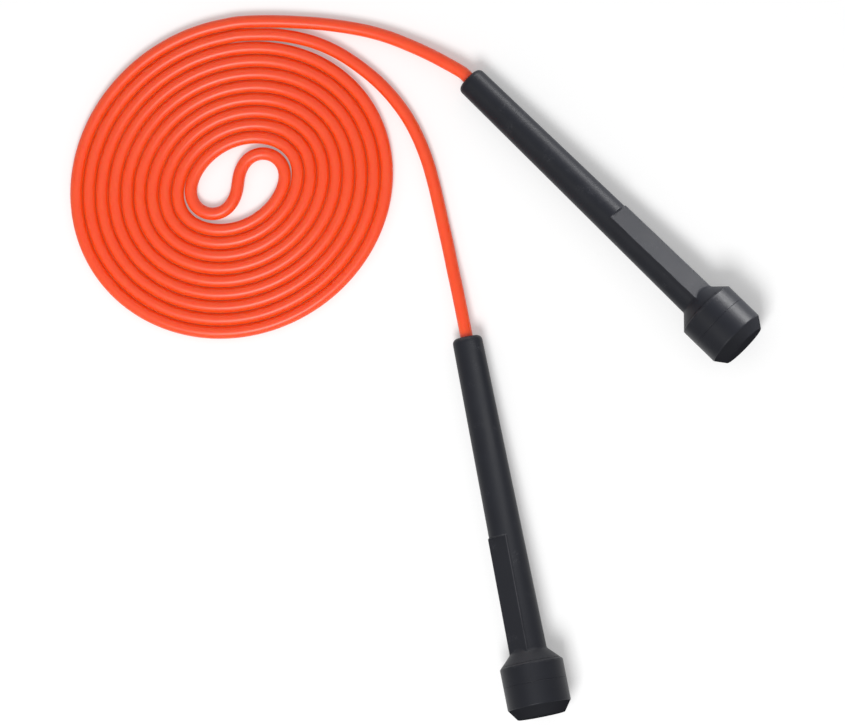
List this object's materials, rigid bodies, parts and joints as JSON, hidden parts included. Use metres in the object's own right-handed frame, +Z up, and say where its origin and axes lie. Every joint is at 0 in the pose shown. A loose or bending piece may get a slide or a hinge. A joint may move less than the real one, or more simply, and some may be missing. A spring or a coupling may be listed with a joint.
{
  "type": "jump rope",
  "caption": "Jump rope: round plastic cord laid in a flat spiral, with a hollow tapered handle ending in a knob that spins and slides on each end of it.",
  "frame": {"origin": "on the surface that the rope lies on, under the middle of the two handles' common box", "axes": "+Z up from that surface; +Y along the length over which the two handles are laid out, from the lower handle's knob to the upper handle's tip; +X to the right, away from the coil"},
  "size_m": [0.2788, 0.2819, 0.0264],
  "materials": {
    "cord": "smooth extruded soft plastic, satin gloss",
    "handle": "moulded, fine satin texture",
    "ferrule": "drawn tube, crimped",
    "washer": "stamped, zinc plated"
  },
  "bodies": {
    "rope": {"cord_coil": "cord", "cord_lead_upper": "cord", "cord_lead_lower": "cord", "cord_tail_upper": "cord", "cord_tail_lower": "cord", "ferrule_upper": "ferrule", "ferrule_lower": "ferrule"},
    "washer_upper": {"washer_upper": "washer"},
    "grip_upper": {"handle_upper": "handle"},
    "cap_upper": {"end_cap_upper": "handle"},
    "washer_lower": {"washer_lower": "washer"},
    "grip_lower": {"handle_lower": "handle"},
    "cap_lower": {"end_cap_lower": "handle"}
  },
  "joints": [
    {"name": "upper_slide", "type": "slide", "parent": "rope", "child": "washer_upper", "axis": [0.7208, -0.6912, 0.0517], "range_m": [0, 0.1262]},
    {"name": "upper_spin", "type": "hinge", "parent": "washer_upper", "child": "grip_upper", "pos_m": [-0.0559, 0.1265, 0.00588], "axis": [0.7208, -0.6912, 0.0517], "continuous": true},
    {"name": "upper_cap_pull", "type": "slide", "parent": "grip_upper", "child": "cap_upper", "axis": [0.7208, -0.6912, 0.0517], "range_m": [0, 0.015]},
    {"name": "lower_slide", "type": "slide", "parent": "rope", "child": "washer_lower", "axis": [0.2008, -0.9783, 0.0517], "range_m": [0, 0.1262]},
    {"name": "lower_spin", "type": "hinge", "parent": "washer_lower", "child": "grip_lower", "pos_m": [-0.0567, 0.0233, 0.00588], "axis": [0.2008, -0.9783, 0.0517], "continuous": true},
    {"name": "lower_cap_pull", "type": "slide", "parent": "grip_lower", "child": "cap_lower", "axis": [0.2008, -0.9783, 0.0517], "range_m": [0, 0.015]}
  ]
}
